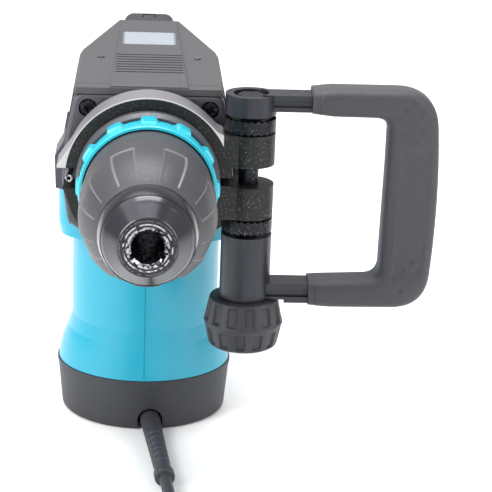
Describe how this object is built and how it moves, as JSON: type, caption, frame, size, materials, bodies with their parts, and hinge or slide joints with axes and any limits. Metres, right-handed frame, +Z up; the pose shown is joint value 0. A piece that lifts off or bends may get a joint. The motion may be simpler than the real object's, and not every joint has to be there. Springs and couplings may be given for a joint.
{
  "type": "electric demolition hammer",
  "caption": "Upright-motor electric demolition hammer with a crank-driven striker, tool socket with sliding release cover, swinging D side handle, rear lever handle and mains cord.",
  "frame": {"origin": "centre of the base cap's underside, on the motor's axis", "axes": "+Z up, -Y out of the tool socket, +X to the side handle"},
  "size_m": [0.3463, 0.5772, 0.2432],
  "materials": {
    "motor_shell": "satin moulded glass-filled nylon",
    "cap_plastic": "fine-grained moulded plastic",
    "casting": "satin dark grey paint on die-cast alloy",
    "cover_plastic": "fine-grained moulded plastic",
    "label": "satin printed foil, left blank",
    "machined_steel": "ground",
    "blackened_steel": "black oxide",
    "aluminium": "as cast",
    "sleeve_plastic": "fine-grained moulded plastic",
    "ring_plastic": "gloss moulded",
    "nose_rubber": "matte",
    "nose_shell": "polished",
    "rubber": "matte textured",
    "spring_steel": "drawn wire",
    "electrical_steel": "varnished laminations",
    "copper": "turned copper",
    "carbon": "pressed carbon",
    "handle_steel": "semi-gloss powder coat",
    "lens": "clear tinted",
    "cord_rubber": "matte sheath",
    "tie": "woven hook and loop",
    "brass": "drawn"
  },
  "bodies": {
    "root": {"motor_housing": "motor_shell", "base_cap": "cap_plastic", "crank_housing": "casting", "top_cover": "cover_plastic", "rating_label": "label", "side_covers": "cap_plastic", "housing_bolts": "blackened_steel", "barrel": "casting", "cylinder": "machined_steel", "field_stator": "electrical_steel", "armature_bearings": "machined_steel", "brush_holders": "brass", "carbon_brushes": "carbon", "gear_plate": "aluminium", "crank_bearings": "machined_steel", "rear_handle_left": "cap_plastic", "rear_handle_right": "cap_plastic", "rear_grip": "rubber", "handle_screws": "blackened_steel", "switch_body": "cap_plastic", "indicator_lenses": "lens", "strain_relief": "cord_rubber", "cord_lead": "cord_rubber", "cord_coil": "cord_rubber", "cord_tail": "cord_rubber", "coil_tie": "tie", "plug": "cord_rubber", "plug_pins": "machined_steel"},
    "armature": {"armature_shaft": "machined_steel", "armature_core": "electrical_steel", "commutator": "copper", "fan": "cap_plastic"},
    "crank": {"crankshaft": "machined_steel", "crank_gear": "machined_steel"},
    "con_rod": {"connecting_rod": "aluminium", "wrist_pin": "machined_steel"},
    "piston": {"piston": "aluminium", "piston_ring": "rubber"},
    "striker": {"striker": "machined_steel", "striker_ring": "rubber"},
    "impact_bolt": {"impact_bolt": "machined_steel"},
    "holder": {"tool_holder": "machined_steel", "locking_rollers": "machined_steel", "nose_seal": "nose_rubber", "nose_cap": "nose_shell", "release_spring": "spring_steel"},
    "sleeve": {"release_cover": "sleeve_plastic"},
    "change_ring": {"change_ring": "ring_plastic"},
    "clamp": {"clamp_band_upper": "blackened_steel", "clamp_band_lower": "blackened_steel", "clamp_hinge_pin": "machined_steel", "serrated_collars": "blackened_steel", "clamp_bolt": "blackened_steel"},
    "side_handle": {"side_handle_frame": "handle_steel", "side_handle_grip": "rubber"},
    "knob": {"clamp_knob": "cap_plastic"},
    "lever": {"switch_lever": "cap_plastic"},
    "dial": {"speed_dial": "cap_plastic"}
  },
  "joints": [
    {"name": "armature_spin", "type": "hinge", "parent": "root", "child": "armature", "pos_m": [0, 0, 0.08], "axis": [0, 0, 1], "continuous": true},
    {"name": "crank_spin", "type": "hinge", "parent": "root", "child": "crank", "pos_m": [0, 0.0405, 0.15], "axis": [0, 0, 1], "continuous": true},
    {"name": "rod_swing", "type": "hinge", "parent": "crank", "child": "con_rod", "pos_m": [0, 0.033, 0.187], "axis": [0, 0, 1], "continuous": true},
    {"name": "piston_slide", "type": "slide", "parent": "root", "child": "piston", "axis": [0, 1, 0], "range_m": [0, 0.015]},
    {"name": "striker_slide", "type": "slide", "parent": "root", "child": "striker", "axis": [0, 1, 0], "range_m": [0, 0.02]},
    {"name": "impact_bolt_slide", "type": "slide", "parent": "holder", "child": "impact_bolt", "axis": [0, -1, 0], "range_m": [0, 0.003]},
    {"name": "holder_turn", "type": "hinge", "parent": "root", "child": "holder", "pos_m": [0, -0.15, 0.187], "axis": [0, -1, 0], "continuous": true},
    {"name": "release_cover_slide", "type": "slide", "parent": "holder", "child": "sleeve", "axis": [0, 1, 0], "range_m": [0, 0.006], "stiffness_N_per_m": 1500, "springref_m": -0.004, "deforming": ["release_spring"]},
    {"name": "change_ring_slide", "type": "slide", "parent": "holder", "child": "change_ring", "axis": [0, -1, 0], "range_m": [0, 0.004], "stiffness_N_per_m": 800, "springref_m": -0.004},
    {"name": "clamp_swing", "type": "hinge", "parent": "root", "child": "clamp", "pos_m": [0, -0.096, 0.187], "axis": [0, -1, 0], "range_deg": [-20, 180]},
    {"name": "side_handle_swing", "type": "hinge", "parent": "clamp", "child": "side_handle", "pos_m": [0.06, -0.094, 0.17], "axis": [0, 0, 1], "range_deg": [-90, 30]},
    {"name": "knob_turn", "type": "hinge", "parent": "clamp", "child": "knob", "pos_m": [0.06, -0.094, 0.094], "axis": [0, 0, 1], "continuous": true},
    {"name": "lever_press", "type": "hinge", "parent": "root", "child": "lever", "pos_m": [0, 0.17, 0.178], "axis": [1, 0, 0], "range_deg": [0, 7], "stiffness_Nm_per_rad": 1, "springref_deg": -5.73},
    {"name": "speed_dial_turn", "type": "hinge", "parent": "root", "child": "dial", "pos_m": [0, 0.152, 0.2232], "axis": [1, 0, 0], "range_deg": [0, 240]}
  ],
  "couplings": [
    {"joint": "crank_spin", "follows": "armature_spin", "ratio": -0.2},
    {"joint": "rod_swing", "follows": "armature_spin", "ratio": 0.2}
  ]
}
